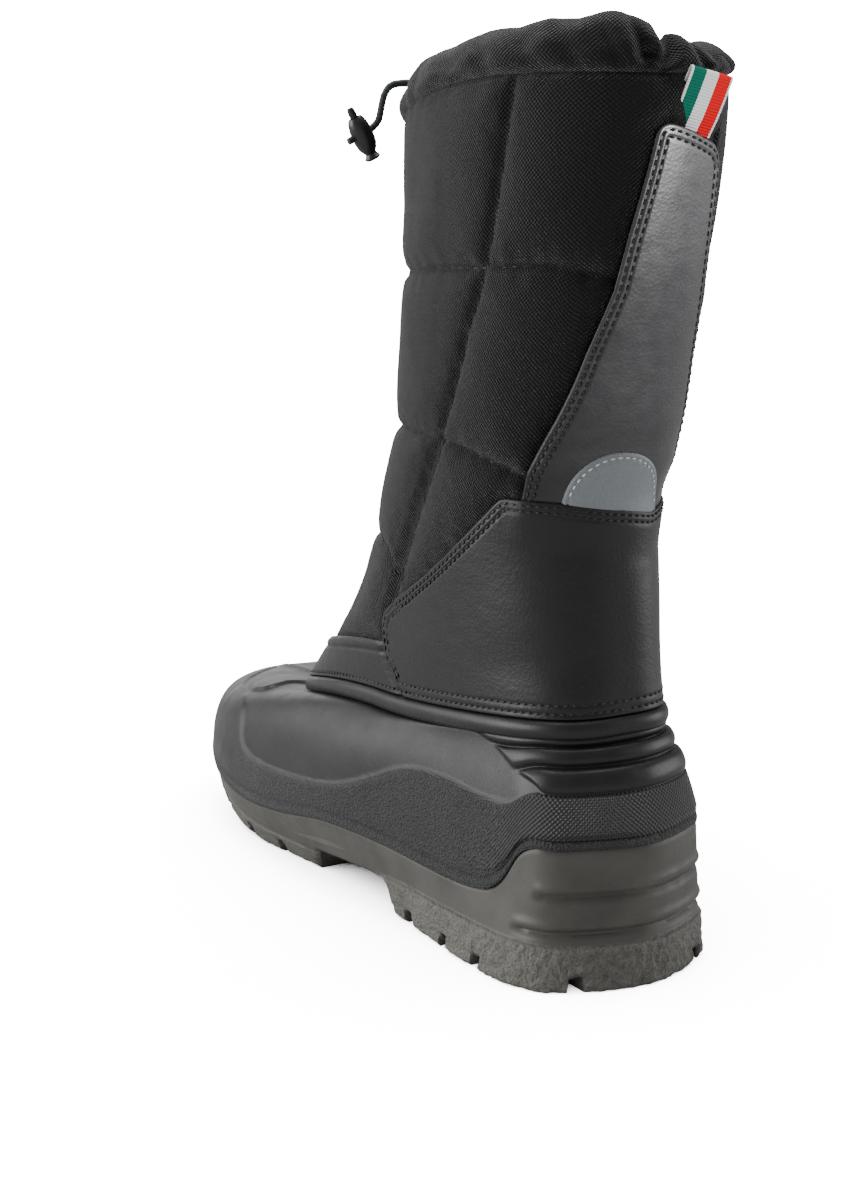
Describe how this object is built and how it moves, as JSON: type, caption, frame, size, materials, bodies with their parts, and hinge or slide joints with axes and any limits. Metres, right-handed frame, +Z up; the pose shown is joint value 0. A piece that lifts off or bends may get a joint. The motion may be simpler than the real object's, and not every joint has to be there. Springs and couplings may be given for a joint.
{
  "type": "snow boot",
  "caption": "Pull-on snow boot: quilted textile shaft with drawcord collar on a moulded rubber foot shell and a lugged rubber outsole.",
  "frame": {"origin": "middle of the whole boot's plan, on the floor", "axes": "+Z up, +Y towards the toe, +X towards the wearer's right"},
  "size_m": [0.1168, 0.3163, 0.3131],
  "materials": {
    "sole_rubber": "matt taupe rubber with a rough lower band",
    "shell_rubber": "black moulded rubber, satin with a soft sheen",
    "felt": "grey needle felt",
    "quilted_nylon": "matt black woven nylon over foam",
    "coated_leather": "black coated leather, fine grain, satin",
    "reflective_film": "silver-grey reflective cloth",
    "ribbon": "ribbed ribbon in green, white and red bands",
    "cord": "black braided cord",
    "black_plastic": "black moulded plastic"
  },
  "bodies": {
    "boot": {"outsole": "sole_rubber", "shell": "shell_rubber", "insole": "felt", "upper": "quilted_nylon", "heel_panel": "coated_leather", "vamp_panel": "coated_leather", "back_strip": "coated_leather", "reflector": "reflective_film", "collar": "quilted_nylon", "pull_loop": "ribbon", "drawcord": "cord", "cord_lock_body": "black_plastic"},
    "plunger": {"cord_lock_plunger": "black_plastic"}
  },
  "joints": [
    {"name": "cord_lock_press", "type": "slide", "parent": "boot", "child": "plunger", "axis": [0.454, 0, -0.891], "range_m": [0, 0.002], "stiffness_N_per_m": 300}
  ]
}
